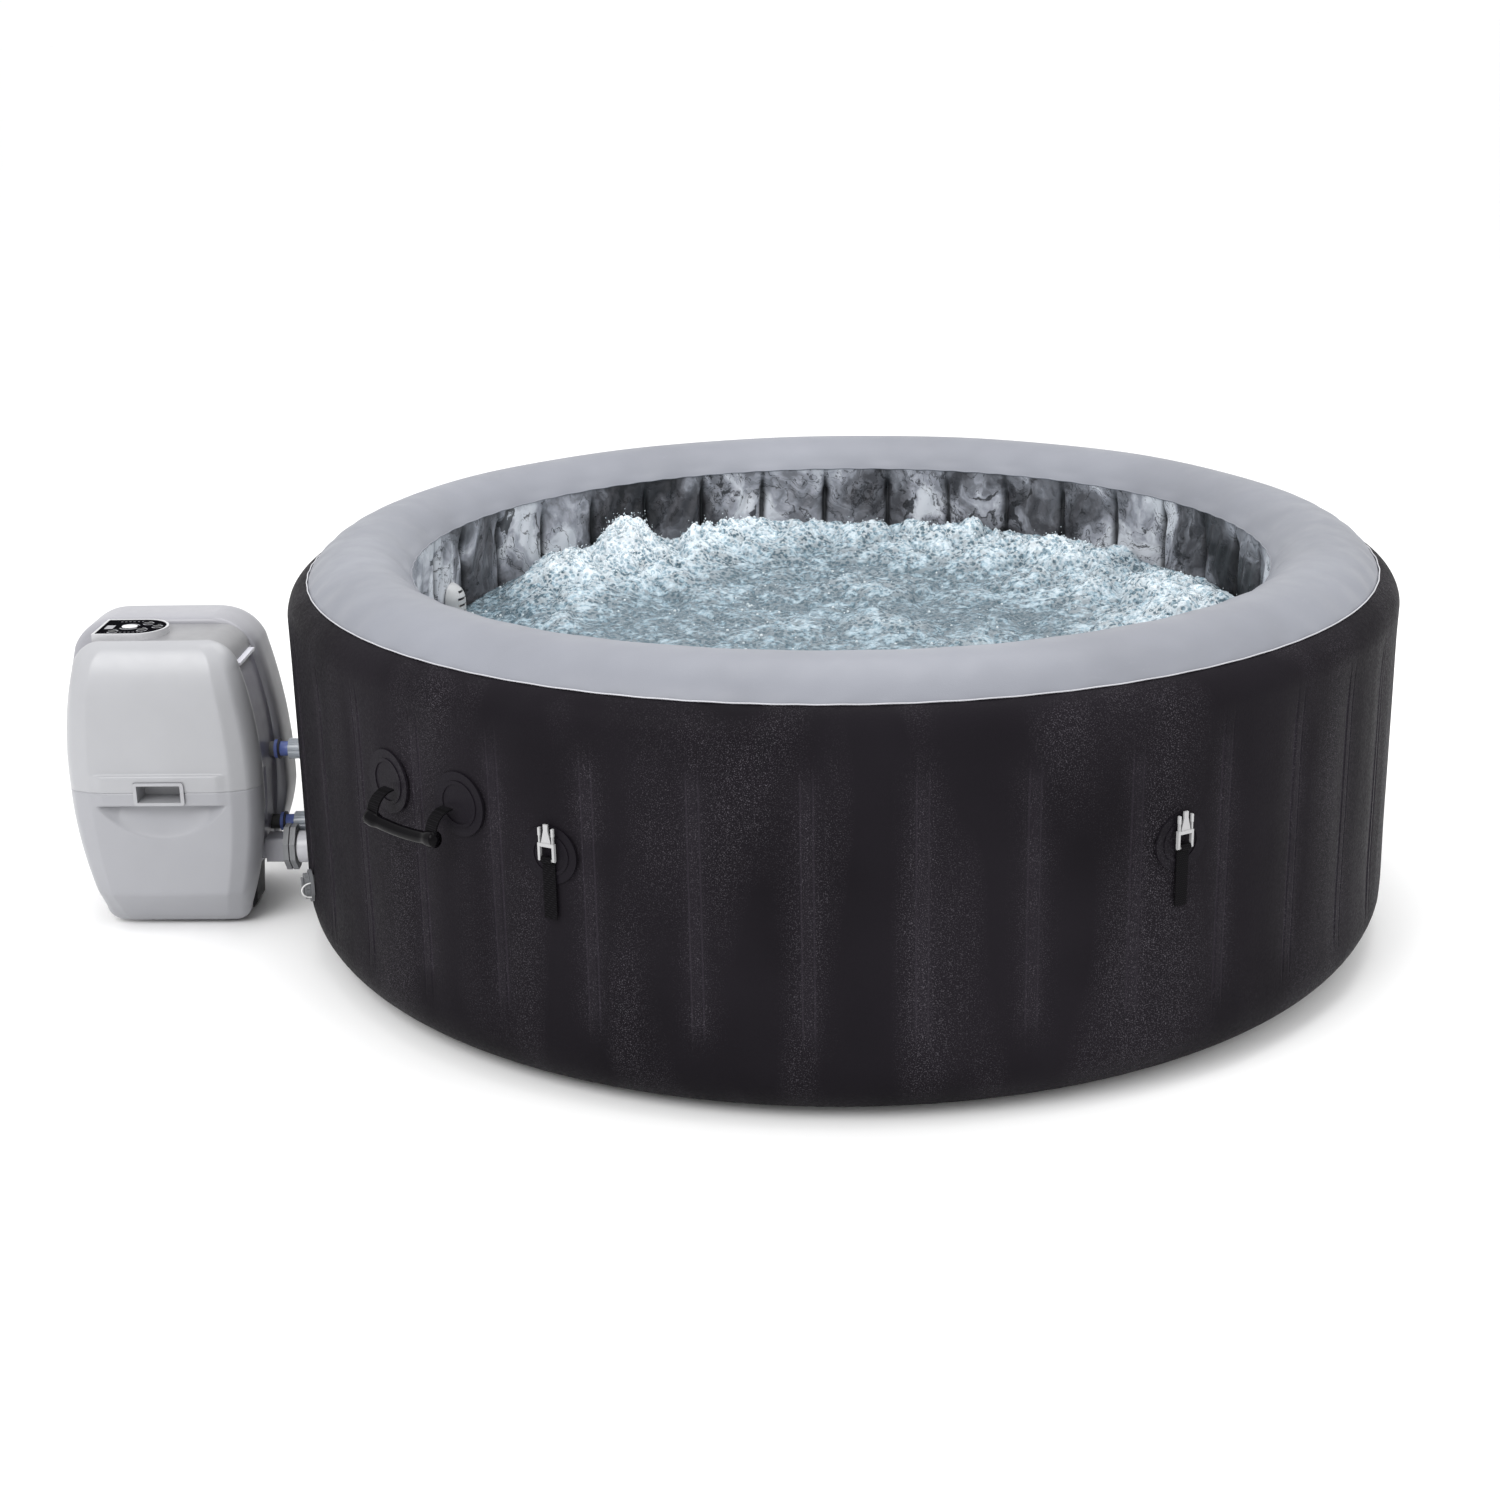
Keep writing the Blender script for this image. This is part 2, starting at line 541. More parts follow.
def rim():
    """The soft ring on top, crowned between its two seams, with faint pulls where the webs end."""
    half, rise = (SEAM_R - R_IN) / 2, RIM_TOP - SEAM_Z
    arc_r = (half**2 + rise**2) / (2 * rise)
    centre = (R_IN + half, RIM_TOP - arc_r)
    turn = math.asin(half / arc_r)
    az = np.linspace(0, 2 * math.pi, PANELS * 20, endpoint=False) + FIRST_WELD
    off = np.cos(to_weld(az) / (STEP / 2) * math.pi)
    verts = []
    for t in np.linspace(turn, -turn, 44):
        r, z = centre[0] + arc_r * math.sin(t), centre[1] + arc_r * math.cos(t)
        inner = 1 - smoothstep(r, R_IN + 0.002, R_IN + 0.075)
        outer = window(r, SEAM_R - 0.05, SEAM_R - 0.012, SEAM_R - 0.006, SEAM_R)
        edge = smoothstep(r, R_IN - 0.001, R_IN + 0.012)
        # drawn in by 3.4 mm where the webs end, and rippled by 1 mm along the outer seam
        dip = -0.0034 * (0.5 + 0.5 * off) * inner * edge + 0.0014 * wave(az, 11, 14) * (1 - abs(t) / turn)
        dip = dip + 0.0010 * np.sin(az * 67 + 2 * wave(az, 8)) * outer
        verts.append(ring_points(az, np.full_like(az, r) + dip * math.sin(t), z + dip * math.cos(t)))
    pts = np.concatenate(verts)
    faces = grid_faces(len(verts), len(az), True)
    add_mesh("rim_top", pts, faces, MATS["rim_grey"], replaces=["rim_skin"], slot="rim_grey")


def ring_cord(name, radius, height, thick, mat, **kept):
    """A thin welded edge that runs round the tub with small waves."""
    az = np.linspace(0, 2 * math.pi, 720, endpoint=False)
    sway = 0.0004 * np.sin(az * 83 + 3 * wave(az, 31))
    verts = []
    for t in np.linspace(0, 2 * math.pi, 9)[:-1]:
        r, z = radius + thick * math.cos(t) + sway, height + thick * math.sin(t) + sway
        verts.append(ring_points(az, r, z))
    pts = np.concatenate(verts)
    faces = [tuple(k % len(pts) for k in f) for f in grid_faces(len(verts) + 1, len(az), True)]
    add_mesh(name, pts, faces, mat, **kept)


def liner():
    """The inner wall: each panel bulges into the well between deep narrow pleats at the welds."""
    az, heights = port_samples(weld_samples(22, 14, 0.05), np.linspace(0.010, SEAM_Z, 70), R_IN)
    off = np.abs(to_weld(az)) / (STEP / 2)
    crease = (1 - off) ** 2.2
    panel = np.floor((az - FIRST_WELD) / STEP + 0.5)
    uneven = 0.65 + 0.55 * np.abs(np.sin(panel * 2.7 + 0.6))
    verts, pleat = [], []
    for z in heights:
        top = smoothstep(z, SEAM_Z - 0.045, SEAM_Z - 0.002)
        reach = smoothstep(z, 0.02, 0.09) * (1 - 0.85 * top)
        gather = smoothstep(z, SEAM_Z - 0.16, SEAM_Z - 0.02) * (1 - top)
        folds = 0.0022 * np.sin(az * 120 + 60 * z + 4 * wave(az, 5)) * gather * uneven
        wander = 0.004 * np.sin(panel * 5.1 + z * 11)
        slit = np.exp(-(((to_weld(az) - wander) * R_IN) / 0.0046) ** 2)
        # back into the wall by 10.5 mm at a crease and by up to 8 mm more in its slit
        r = R_IN + (0.0105 * crease + 0.008 * slit * uneven) * reach + folds
        verts.append(ring_points(az, r, np.full_like(az, z)))
        dark = (slit * uneven + 0.28 * crease) * (0.25 + 0.75 * reach) + 150 * np.maximum(folds, 0)
        pleat.append(np.clip(dark, 0, 1))
    pts = np.concatenate(verts)
    faces = [f[::-1] for f in open_ports(pts, grid_faces(len(heights), len(az), True), INSIDE)]
    mat = MATS["liner_marbled"]
    obj = add_mesh("wall_inner", pts, faces, mat, replaces=["inner_wall"], slot="liner_marbled")
    set_layer(obj, "pleat", np.concatenate(pleat))


def beam_webs():
    """The upright webs between the two walls, kept clear of the creases in both skins."""
    verts, faces = [], []
    radii = np.linspace(R_IN + 0.024, R_OUT - 0.0095, 8)
    foot, foot_at_drain, head, rows = 0.035, 0.155, 0.532, 14
    for n in range(PANELS):
        az = FIRST_WELD + n * STEP
        apart = abs((az - DRAIN_AZ + math.pi) % (2 * math.pi) - math.pi)
        low = foot_at_drain if apart < 0.06 else foot
        base = len(verts)
        for z in np.linspace(low, head, rows):
            drop = max(0.0, CORNER_R - z)
            inset = CORNER_R - math.sqrt(CORNER_R**2 - drop**2)
            reach = R_IN + (radii - R_IN) * (1 - inset / (R_OUT - R_IN))
            bow = 0.0015 * np.sin((radii - R_IN) * 31 + z * 6)
            verts.extend(ring_points(az + bow, reach, np.full_like(radii, z)))
        faces += grid_faces(rows, len(radii), base=base)
    obj = add_mesh("beam_webs", verts, faces, MATS["beam_grey"], replaces=["i_beams"], slot="beam_grey")
    thicken(obj, 0.0012, 0)


# --- water ----------------------------------------------------------------------------------------
def mound(x, y, at, size):
    """A smooth hump, 1 high at its middle, with its half sizes along x and y."""
    return math.exp(-(((x - at[0]) / size[0]) ** 2 + ((y - at[1]) / size[1]) ** 2))


def cell_dome(point, width):
    """1 at the middle of each cell of a random pattern, falling to 0 at width from it."""
    return max(0.0, 1 - (noise.voronoi(point)[0][0] / width) ** 2)


def water_point(r, t, radius):
    """A point of the bubbling surface at radius r and azimuth t, and how foamy it is there."""
    x, y = r * math.sin(t), -r * math.cos(t)
    p = Vector((x, y, 0.0))
    # the photo's high ring and mounds, its calm patch and the low corner by the filter cover
    ring = math.exp(-((r - 0.57) / 0.115) ** 2)
    back = 0.5 - 0.5 * math.cos(t)
    right_side = mound(x, y, (0.52, 0.05), (0.22, 0.4))
    calm = mound(x, y, (-0.30, -0.38), (0.28, 0.20))
    corner = mound(x, y, (-0.62, -0.02), (0.13, 0.30))
    left = mound(x, y, (-0.40, 0.34), (0.16, 0.2))
    side = noise.noise(p * 4.5 + Vector((7.1, 2.2, 0)))
    energy = 0.34 + ring * (0.05 + 0.85 * back) + 0.30 * right_side + 0.45 * side + 0.45 * left
    energy = max(0.04, energy * (1 - 0.75 * calm) * (1 - 0.97 * corner))
    # three sizes of bubble domes, drawn out of round by a warp
    q = p + Vector((noise.noise(p * 14.0), noise.noise(p * 14.0 + Vector((9, 4, 1))), 0)) * 0.016
    lump = math.sqrt(cell_dome(q * 10.0, 0.74)) * (0.30 + 1.1 * abs(noise.noise(q * 6.0)))
    knob = math.sqrt(cell_dome(q * 27.0 + Vector((5, 1, 0)), 0.68))
    bead = cell_dome(q * 84.0 + Vector((1, 8, 0)), 0.60)
    fine = noise.noise(p * 190.0)
    rise = energy * (0.050 * lump + 0.0135 * knob + 0.0040 * bead) + 0.0010 * fine * (0.3 + energy)
    z = WATER_Z - 0.034 * corner - 0.008 * calm
    z += min(0.11, rise) * (1 - 0.6 * float(smoothstep(r, radius - 0.03, radius)))
    z += 0.022 * ring * back
    return (x, y, z), min(1.0, max(0.0, 0.04 + 0.30 * energy + 9.5 * (rise - 0.020)))


def disc_faces(rows):
    """Triangles of a disc whose rings (first point, count) grow outwards round point 0."""
    first, n = rows[0]
    faces = [(0, first + k, first + (k + 1) % n) for k in range(n)]
    for (a, na), (b, nb) in zip(rows, rows[1:]):
        i = j = 0
        while i < na or j < nb:
            if j < nb and (i >= na or (j + 1) / nb <= (i + 1) / na):
                faces.append((a + i % na, b + j % nb, b + (j + 1) % nb))
                j += 1
            else:
                faces.append((a + i % na, b + j % nb, a + (i + 1) % na))
                i += 1
    return faces


def water():
    """A closed body of bubbling water with high mounds round the sides and a calmer front left."""
    step = 0.0036
    radius = R_IN - 0.0025
    count = int(radius / step)
    verts, foam, rows = [(0, 0, WATER_Z)], [0.3], []
    for r in np.linspace(0, radius, count + 1)[1:]:
        n = max(12, int(2 * math.pi * r / step))
        rows.append((len(verts), n))
        for t in np.arange(n) * 2 * math.pi / n:
            point, foamy = water_point(r, t, radius)
            verts.append(point)
            foam.append(foamy)
    faces = disc_faces(rows)
    base = len(verts)
    last, n = rows[-1]
    for k in range(n):
        x, y, _ = verts[last + k]
        verts.append((x, y, WELL_FLOOR_Z))
        foam.append(0.0)
    faces += [(last + k, base + k, base + (k + 1) % n, last + (k + 1) % n) for k in range(n)]
    faces.append(tuple(base + k for k in range(n - 1, -1, -1)))
    obj = add_mesh("spa_water", verts, faces, water_material())
    set_layer(obj, "foam", foam)
    return np.array(verts[:base]), np.array(foam[:base])


def spray(surface, foam):
    """Drops and bubbles thrown up over the foam."""
    rng = np.random.default_rng(12)
    drops, flying = 3000, 0.0016  # how many, and the size below which they fly instead of float
    t = (1 + 5**0.5) / 2
    corners = [(-1, t, 0), (1, t, 0), (-1, -t, 0), (1, -t, 0)]
    corners += [(z, x, y) for x, y, z in corners]
    corners += [(z, x, y) for x, y, z in corners[4:]]
    ball = np.array(corners) / math.hypot(1, t)
    tris = [
        (0, 11, 5), (0, 5, 1), (0, 1, 7), (0, 7, 10), (0, 10, 11), (1, 5, 9), (5, 11, 4),
        (11, 10, 2), (10, 7, 6), (7, 1, 8), (3, 9, 4), (3, 4, 2), (3, 2, 6), (3, 6, 8),
        (3, 8, 9), (4, 9, 5), (2, 4, 11), (6, 2, 10), (8, 6, 7), (9, 8, 1),
    ]
    chance = np.clip(foam - 0.25, 0, 1) ** 1.5 + 0.01
    picks = rng.choice(len(surface), size=drops, p=chance / chance.sum())
    verts, faces = [], []
    for k in picks:
        size = 0.0007 + 0.0026 * rng.random() ** 3
        lift = rng.exponential(0.0045) * (0.2 + foam[k]) if size < flying else 0.0003
        place = surface[k] + np.array([rng.normal() * 0.002, rng.normal() * 0.002, min(lift, 0.04)])
        scale = np.array([1, 1, 1 + 0.5 * rng.random()]) * size
        base = len(verts)
        verts += list(ball * scale + place)
        faces += [(base + a, base + b, base + c) for a, b, c in tris]
    clear = {"IOR": 1.33, "Transmission_Weight": 0.3, "Specular_IOR_Level": 1.0}
    m = Mat("water_drops", (0.7, 0.8, 0.85), 0.03, **clear)
    m.colour(m.mix(m.noise(120, 2), (0.40, 0.52, 0.58), (0.95, 0.98, 1.0)))
    add_mesh("spa_spray", verts, faces, m.mat)


# --- pump unit shells -------------------------------------------------------------------------------
def arc_through(a, b, c, count=40):
    """Points of the circle arc from a through b to c."""
    (ax, ay), (bx, by), (cx, cy) = a, b, c
    d = 2 * (ax * (by - cy) + bx * (cy - ay) + cx * (ay - by))
    ux = ((ax**2 + ay**2) * (by - cy) + (bx**2 + by**2) * (cy - ay) + (cx**2 + cy**2) * (ay - by)) / d
    uy = ((ax**2 + ay**2) * (cx - bx) + (bx**2 + by**2) * (ax - cx) + (cx**2 + cy**2) * (bx - ax)) / d
    angles = np.unwrap([math.atan2(y - uy, x - ux) for x, y in (a, b, c)])
    t = np.linspace(angles[0], angles[2], count)
    radius = math.hypot(ax - ux, ay - uy)
    return ux + radius * np.cos(t), uy + radius * np.sin(t)


def half_width(points):
    """A function from height to half width, and the lowest and highest point, in metres."""
    pieces = [arc_through(*(points[k] for k in ks)) for ks in ((8, 7, 6), (6, 5, 0), (0, 1, 2), (2, 3, 4))]
    u = np.concatenate([p[0] for p in pieces]) / 1000
    z = np.maximum.accumulate(np.concatenate([p[1] for p in pieces])) / 1000
    return lambda height: np.interp(height, z, u), z[0], z[-1]


def mirrored(*parts):
    """Shares of the half width from edge to edge, from shares that run from the middle out."""
    half = np.concatenate(parts)
    return np.concatenate([-half[::-1], half[1:]])


def round_fall(x, start, end):
    """A quarter-round fall from 1 at start to 0 at end."""
    t = np.clip((x - start) / (end - start), 0, 1)
    return np.sqrt(np.maximum(0.0, 1 - t * t))


def soft_ramp(x, start, width):
    """Zero before start and rising at slope one after it, with a soft knee."""
    return width * np.logaddexp(0, (x - start) / width)


def front_depth(u, z, s):
    """How far the front covers stand proud of their rim at width u, height z, side share s."""
    # a flat panel that bends and then rolls off to the sides, to the top and to the foot
    across = (1 - 1.35 * soft_ramp(np.abs(s), 0.72, 0.006)) * round_fall(np.abs(s), 0.87, 1.0)
    up = (1 - 1.6 * soft_ramp(z, 0.400, 0.0030)) * round_fall(z, 0.404, 0.4941)
    down = (1 - 12.5 * soft_ramp(-z, -0.067, 0.0022)) * round_fall(-z, -0.020, -0.004)
    depth = FRONT_DEPTH * across * up * down
    # the raised band, less proud at its lower edge, and the scoop below it
    reach = 1 - smoothstep(np.abs(u), 0.092, 0.116)
    tilt = 0.55 + 0.45 * smoothstep(z, 0.226, 0.277)
    depth = depth + BAND_DEPTH * window(z, *BAND_RISE, *BAND_FALL) * reach * tilt
    scoop_edge = SCOOP_TOP - SCOOP_HEIGHT * np.clip(1 - (u / SCOOP_HALF) ** 2, 0, 1) ** 0.85
    inside = np.clip((z - scoop_edge) / np.maximum(SCOOP_TOP - scoop_edge, 1e-4), 0, 1)
    inside = inside * (z < SCOOP_TOP + 0.001) * (np.abs(u) < SCOOP_HALF)
    hollow = SCOOP_DEPTH * inside**0.8 * np.clip((SCOOP_TOP - scoop_edge) / 0.03, 0, 1)
    parting_groove = 0.0012 * np.exp(-((z - PARTING_Z) / 0.0013) ** 2)
    return depth - hollow - parting_groove


def front_cover(name, node, z0, z1, mat):
    """One front cover as a grid over the outline, with the pocket left open and a turned-in rim."""
    width, low, high = half_width(FRONT_OUTLINE)
    z0, z1 = max(z0, low), min(z1, high)
    marks = [z for z in (POCKET_LOW, POCKET_HIGH, SCOOP_TOP, 0.2780) if z0 < z < z1]
    close = 0.012 * np.linspace(0, 1, 10) ** 2
    zs = np.unique(np.concatenate([np.linspace(z0, z1, 110), marks, z0 + close, z1 - close]))
    pocket_side, edge_from = 0.2484, 0.9  # as shares of the half width
    middle = np.linspace(0, pocket_side, 14)
    flank = np.linspace(pocket_side, edge_from, 40)[1:]
    s = mirrored(middle, flank, 1 - 0.1 * np.linspace(1, 0, 22)[1:] ** 1.7)
    verts = []
    for z in zs:
        u = s * width(z)
        level = np.full_like(u, z)
        verts.append(np.stack([UNIT_X + u, RIM_Y - front_depth(u, level, s), level], -1))
    pts = np.concatenate(verts)
    rows, cols = len(zs), len(s)
    faces = []
    for f in grid_faces(rows, cols):
        centre = pts[list(f)].mean(0)
        if abs(centre[0] - UNIT_X) < POCKET_HALF and POCKET_LOW < centre[2] < POCKET_HIGH:
            continue
        faces.append(f)
    base = len(pts)
    borders = [i * cols for i in range(rows)], [i * cols + cols - 1 for i in range(rows)]
    turned_in = []
    for which, side in enumerate(borders):
        for x, _, z in pts[side]:
            x, z = UNIT_X + (x - UNIT_X) * 0.972, MIDDLE_Z + (z - MIDDLE_Z) * 0.985
            turned_in.append((x, RIM_Y + 0.0006, z))
        for i in range(rows - 1):
            a, b = base + which * rows + i, base + which * rows + i + 1
            quad = (side[i], side[i + 1], b, a)
            faces.append(quad if which == 0 else quad[::-1])
    pts = np.concatenate([pts, np.array(turned_in)])
    obj = add_mesh(name, pts, faces, MATS[mat], replaces=[node], slot="pump_grey")
    thicken(obj, 0.0022, -1)


def back_cover():
    """The rear shell: rounded back with louvres, straight sides, soft front edge and lip."""
    width, low, high = half_width(BACK_OUTLINE)
    starts = LOUVRE_LOW + LOUVRE_PITCH * np.arange(LOUVRES)
    stops = starts + LOUVRE_HEIGHT
    soft = 0.0004  # half height of a louvre's sloping edge
    slots = [starts - soft, starts + soft, stops - soft, stops + soft]
    even, ends = np.linspace(low, high, 90), np.linspace(0, 1, 16) ** 1.8
    zs = np.unique(np.concatenate([even, *slots, low + 0.04 * ends, high - 0.045 * ends]))
    s = mirrored(np.linspace(0, 0.7, 26), 1 - 0.3 * np.linspace(1, 0, 30)[1:] ** 1.8)
    across = (BACK_Y - BACK_RIM_Y) * round_fall(np.abs(s), 0.72, 1.0)
    verts = []
    for z in zs:
        u = s * width(z)
        depth = across * float(round_fall(z, high - 0.045, high) * round_fall(-z, -low - 0.04, -low))
        if np.any((starts <= z) & (z <= stops)):
            depth = depth - LOUVRE_DEPTH * (np.abs(u) < LOUVRE_HALF)
        verts.append(np.stack([BACK_X + u, BACK_RIM_Y + depth, np.full_like(u, z)], -1))
    pts = np.concatenate(verts)
    rows, cols = len(zs), len(s)
    faces = [f[::-1] for f in grid_faces(rows, cols)]
    loop = [i * cols for i in range(rows)] + [(rows - 1) * cols + j for j in range(1, cols)]
    loop += [i * cols + cols - 1 for i in range(rows - 2, -1, -1)] + list(range(cols - 2, 0, -1))
    # the side wall and the lip at the front, as (y, how far the outline has shrunk)
    rings = [(0.02, 0), (-0.011, 0), (-0.0142, 0.0008), (-0.0172, 0.0028)]
    rings += [(-0.0192, 0.006), (-0.0199, 0.010), (-0.0199, 0.045)]
    edge = pts[loop]
    all_pts, previous = [pts], loop
    for y, inset in rings:
        fresh = edge.copy()
        fresh[:, 0] = BACK_X + (edge[:, 0] - BACK_X) * (1 - inset / 0.17)
        fresh[:, 2] = MIDDLE_Z + (edge[:, 2] - MIDDLE_Z) * (1 - inset / 0.245)
        fresh[:, 1] = y
        base = sum(len(p) for p in all_pts)
        current = [base + k for k in range(len(loop))]
        all_pts.append(fresh)
        for k in range(len(loop)):
            n = (k + 1) % len(loop)
            faces.append((previous[k], current[k], current[n], previous[n]))
        previous = current
    pts = np.concatenate(all_pts)
    faces = [f[::-1] for f in faces]
    mat = MATS["pump_back_grey"]
    add_mesh("back_shell", pts, faces, mat, replaces=["pump_back_cover"], slot="pump_back_grey")


def panel_marks():
    """Display window and plain key marks printed on the lens."""
    low, high = 0.50046, 0.50058
    verts, faces = [], []

    def plate(points):
        """A thin flat plate with the given outline."""
        base = len(verts)
        n = len(points)
        for z in (low, high):
            verts.extend([(UNIT_X + x, y, z) for x, y in points])
        faces.append(tuple(base + n + k for k in range(n)))
        faces.append(tuple(base + k for k in range(n - 1, -1, -1)))
        faces.extend([(base + k, base + (k + 1) % n, base + n + (k + 1) % n, base + n + k) for k in range(n)])

    def bar(x, y, w, h):
        """A rectangle w by h about (x, y); x is measured from the unit's middle."""
        plate([(x + a * w / 2, y + b * h / 2) for a, b in ((-1, -1), (1, -1), (1, 1), (-1, 1))])

    def sweep(x, y, r, start, end, w=0.0011):
        """A piece of a ring of radius r about (x, y), w being half its width."""
        steps = np.radians(np.linspace(start, end, 9))
        for a, b in zip(steps, steps[1:]):
            corners = ((r - w, a), (r + w, a), (r + w, b), (r - w, b))
            plate([(x + q * math.cos(t), y + q * math.sin(t)) for q, t in corners])

    bar(-0.0885, -0.080, 0.014, 0.022)
    # a ring of two halves and a short bar at each small key
    for x, y in ((-0.030, -0.098), (-0.030, -0.058), (-0.010, -0.078), (-0.076, -0.108)):
        sweep(x, y, 0.0085, 20, 160)
        sweep(x, y, 0.0085, 200, 340)
        bar(x, y + 0.0135, 0.006, 0.0012)
    # two rows of dashes, and a larger ring round the middle key
    for k in range(6):
        bar(-0.062 + 0.007 * k, -0.112, 0.0035, 0.0012)
        bar(-0.078 + 0.007 * k, -0.046, 0.0035, 0.0012)
    sweep(-0.056, -0.078, 0.0165, 30, 150)
    sweep(-0.056, -0.078, 0.0165, 210, 330)
    mark = plastic("panel_marks", (0.24, 0.24, 0.26), 0.3)
    add_mesh("panel_marks", verts, faces, mark, smooth=False)


# --- handles ----------------------------------------------------------------------------------------
def tube(path, sizes, sides=16):
    """Closed bar along a path with elliptic sections (half width across, half height)."""
    verts = []
    path = [Vector(p) for p in path]
    for k, (p, (a, b)) in enumerate(zip(path, sizes)):
        ahead = (path[min(k + 1, len(path) - 1)] - path[max(k - 1, 0)]).normalized()
        out = Vector((1, 0, 0))
        out = (out - ahead * out.dot(ahead)).normalized()
        upward = ahead.cross(out)
        for j in range(sides):
            t = 2 * math.pi * j / sides
            verts.append(p + out * a * math.cos(t) + upward * b * math.sin(t))
    faces = grid_faces(len(path), sides, True)
    faces.append(tuple(range(sides - 1, -1, -1)))
    top = (len(path) - 1) * sides
    faces.append(tuple(top + j for j in range(sides)))
    return verts, faces


def ribbon(points, y, half, thick):
    """A strap of given half width along points (x, z) in one local plane."""
    verts = []
    pts = [np.array(p) for p in points]
    for k, p in enumerate(pts):
        ahead = pts[min(k + 1, len(pts) - 1)] - pts[max(k - 1, 0)]
        normal = np.array([-ahead[1], ahead[0]]) / np.linalg.norm(ahead) * thick / 2
        for w, sign in ((-half, 1), (half, 1), (half, -1), (-half, -1)):
            verts.append(Vector((p[0] + sign * normal[0], y + w, p[1] + sign * normal[1])))
    faces = grid_faces(len(pts), 4, True)
    faces.append((3, 2, 1, 0))
    top = (len(pts) - 1) * 4
    faces.append((top, top + 1, top + 2, top + 3))
    return verts, faces


def handle(number, azimuth):
    """Glossy moulded grip, sagging a little, on two webbing straps; drawn on +X and turned round."""
    spin = Matrix.Rotation(math.radians(azimuth - 90), 4, "Z")
    body = f"handle_{number}"
    half = 0.0775  # half length of the grip
    path, sizes = [], []
    for y in np.linspace(-half, half, 41):
        t = abs(y) / half
        end = math.sqrt(max(0.0, 1 - max(0.0, (t - 0.955) / 0.045) ** 2))
        thick = 0.0088 + 0.0022 * float(smoothstep(t, 0.62, 0.80))
        path.append((R_OUT + 0.040, y, HANDLE_Z - 0.041 - 0.0065 * (1 - t * t)))
        sizes.append((max(0.001, thick * end), max(0.001, thick * 1.08 * end)))
    verts, faces = tube(path, sizes)
    verts = [spin @ v for v in verts]
    mat = MATS["handle_black"]
    add_mesh(f"grip_{number}", verts, faces, mat, body=body, replaces=[body], slot="handle_black")
    curve = arc_profile(R_OUT + 0.009, HANDLE_Z - 0.037, 0.031, np.radians(np.linspace(-22, 92, 26)))
    for side, letter in ((-1, "a"), (1, "b")):
        verts, faces = ribbon(curve, side * 0.064, 0.011, 0.0026)
        verts = [spin @ v for v in verts]
        add_mesh(f"strap_{number}_{letter}", verts, faces, MATS["webbing_black"], body=body, smooth=False)


outer_wall()
rim()
ring_cord(
    "seam_outer", SEAM_R + 0.0016, SEAM_Z + 0.0012, 0.0011, MATS["seam_pale"],
    replaces=["seam_beads"], slot="seam_pale",
)
ring_cord("seam_inner", R_IN - 0.0006, SEAM_Z - 0.0004, 0.0012, MATS["rim_grey"])
liner()
beam_webs()
spray(*water())
front_cover("front_upper", "pump_front_upper", PARTING_Z + 0.0001, 1, "pump_white")
front_cover("front_lower", "pump_front_lower", 0, PARTING_Z - 0.0001, "pump_grey")
back_cover()
panel_marks()
for number, azimuth in enumerate(HANDLE_AZIMUTHS, 1):
    handle(number, azimuth)

# CAD bodies whose edges are softened, and by how much
SOFT_EDGES = {
    "console_deck": 0.0012,
    "panel_bezel": 0.0012,
    "grip_frame": 0.0010,
    "air_clamp": 0.0012,
    "drain_valve_body": 0.0010,
    "filter_cover": 0.0006,
}
for name, size in SOFT_EDGES.items():
    soft = nodes[name].modifiers.new("soft", "BEVEL")
    soft.width = size
    soft.segments = 3
    soft.limit_method = "ANGLE"
    soft.angle_limit = math.radians(35)
    soft.harden_normals = False


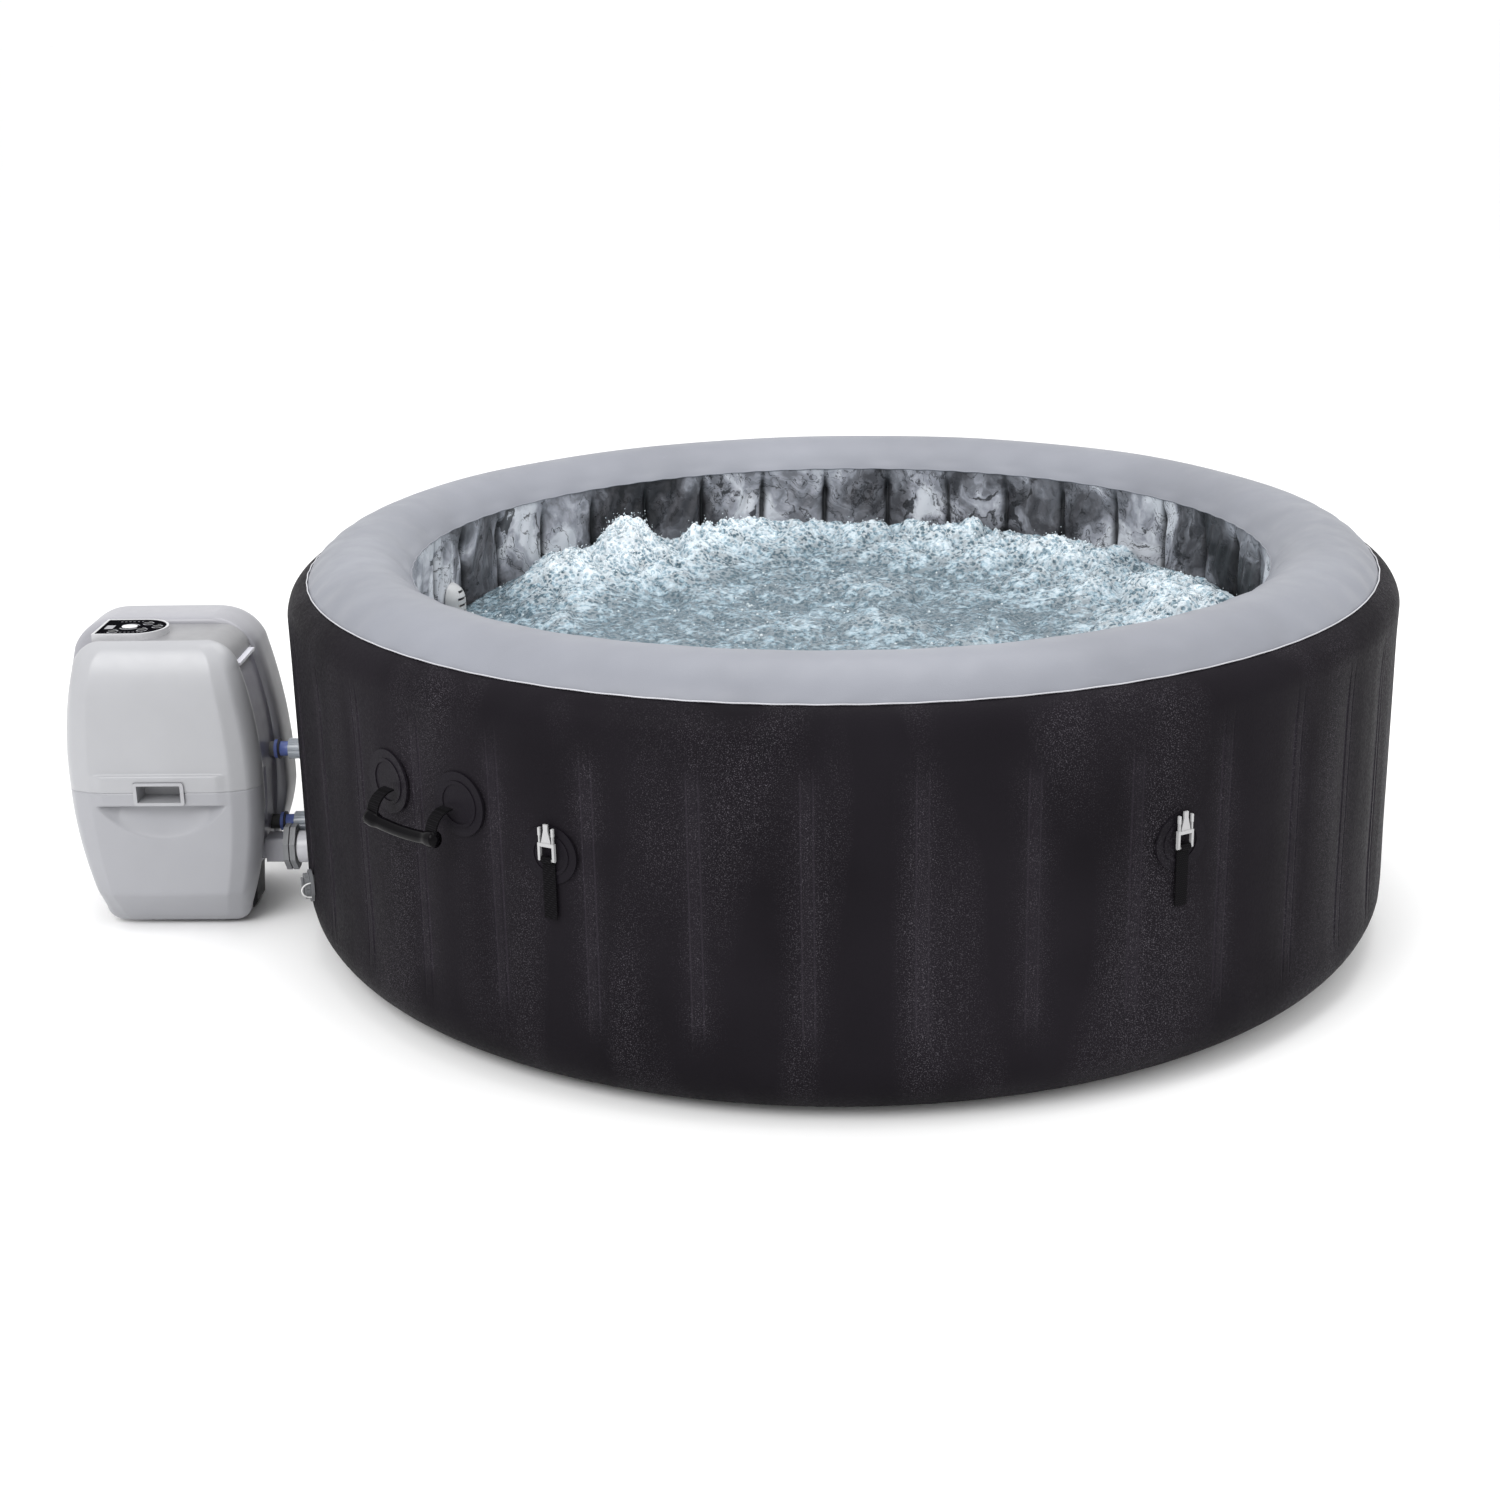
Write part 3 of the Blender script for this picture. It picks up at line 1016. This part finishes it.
# --- studio ---------------------------------------------------------------------------------------
def area(name, place, size, power):
    """A square white area light aimed at the middle of the tub."""
    data = bpy.data.lights.new(name, "AREA")
    data.shape = "SQUARE"
    data.size = size
    data.energy = power
    obj = link_new(name, data)
    obj.location = place
    obj.rotation_euler = (Vector((0, 0, 0.3)) - Vector(place)).to_track_quat("-Z", "Y").to_euler()


floor_mat = Mat("studio_floor", (0.9, 0.9, 0.9), 0.6)
floor_mat.colour(floor_mat.mix(floor_mat.noise(3, 2), (0.955, 0.955, 0.955), (0.985, 0.985, 0.985)))
half, floor_z = 90, -0.001
corners = [(-half, -half, floor_z), (half, -half, floor_z), (half, half, floor_z), (-half, half, floor_z)]
mesh = bpy.data.meshes.new("studio_floor")
mesh.from_pydata(corners, [], [(0, 1, 2, 3)])
mesh.materials.append(floor_mat.mat)
floor = link_new("studio_floor", mesh)

area("key", (-2.2, -3.2, 3.4), 2.4, 115)
area("top", (0.3, 0.4, 4.2), 3.2, 95)
area("fill", (3.6, -2.0, 2.0), 2.4, 32)
world = bpy.data.worlds.new("studio")
bpy.context.scene.world = world
world.use_nodes = True
sky = world.node_tree.nodes["Background"]
sky.inputs["Color"].default_value = (1, 1, 1, 1)
sky.inputs["Strength"].default_value = 1.04

# --- camera, as fitted to the photo's ellipses: angles in radians, place in metres ----------------
yaw, pitch, bank = -0.0400, 0.3175, -0.0197
forward = Vector((math.sin(yaw) * math.cos(pitch), math.cos(yaw) * math.cos(pitch), -math.sin(pitch)))
right = Vector((math.cos(yaw), -math.sin(yaw), 0))
up = right.cross(forward)
banked_right = math.cos(bank) * right + math.sin(bank) * up
banked_up = -math.sin(bank) * right + math.cos(bank) * up
camera_data = bpy.data.cameras.new("camera")
camera_data.lens = 55.28
camera_data.sensor_width = 36
camera = link_new("camera", camera_data)
placed = Matrix((banked_right, banked_up, -forward)).transposed().to_4x4()
placed.translation = Vector((-0.0032, -3.7248, 1.4774))
camera.matrix_world = placed
bpy.context.scene.camera = camera
bpy.context.scene.view_settings.view_transform = "Standard"
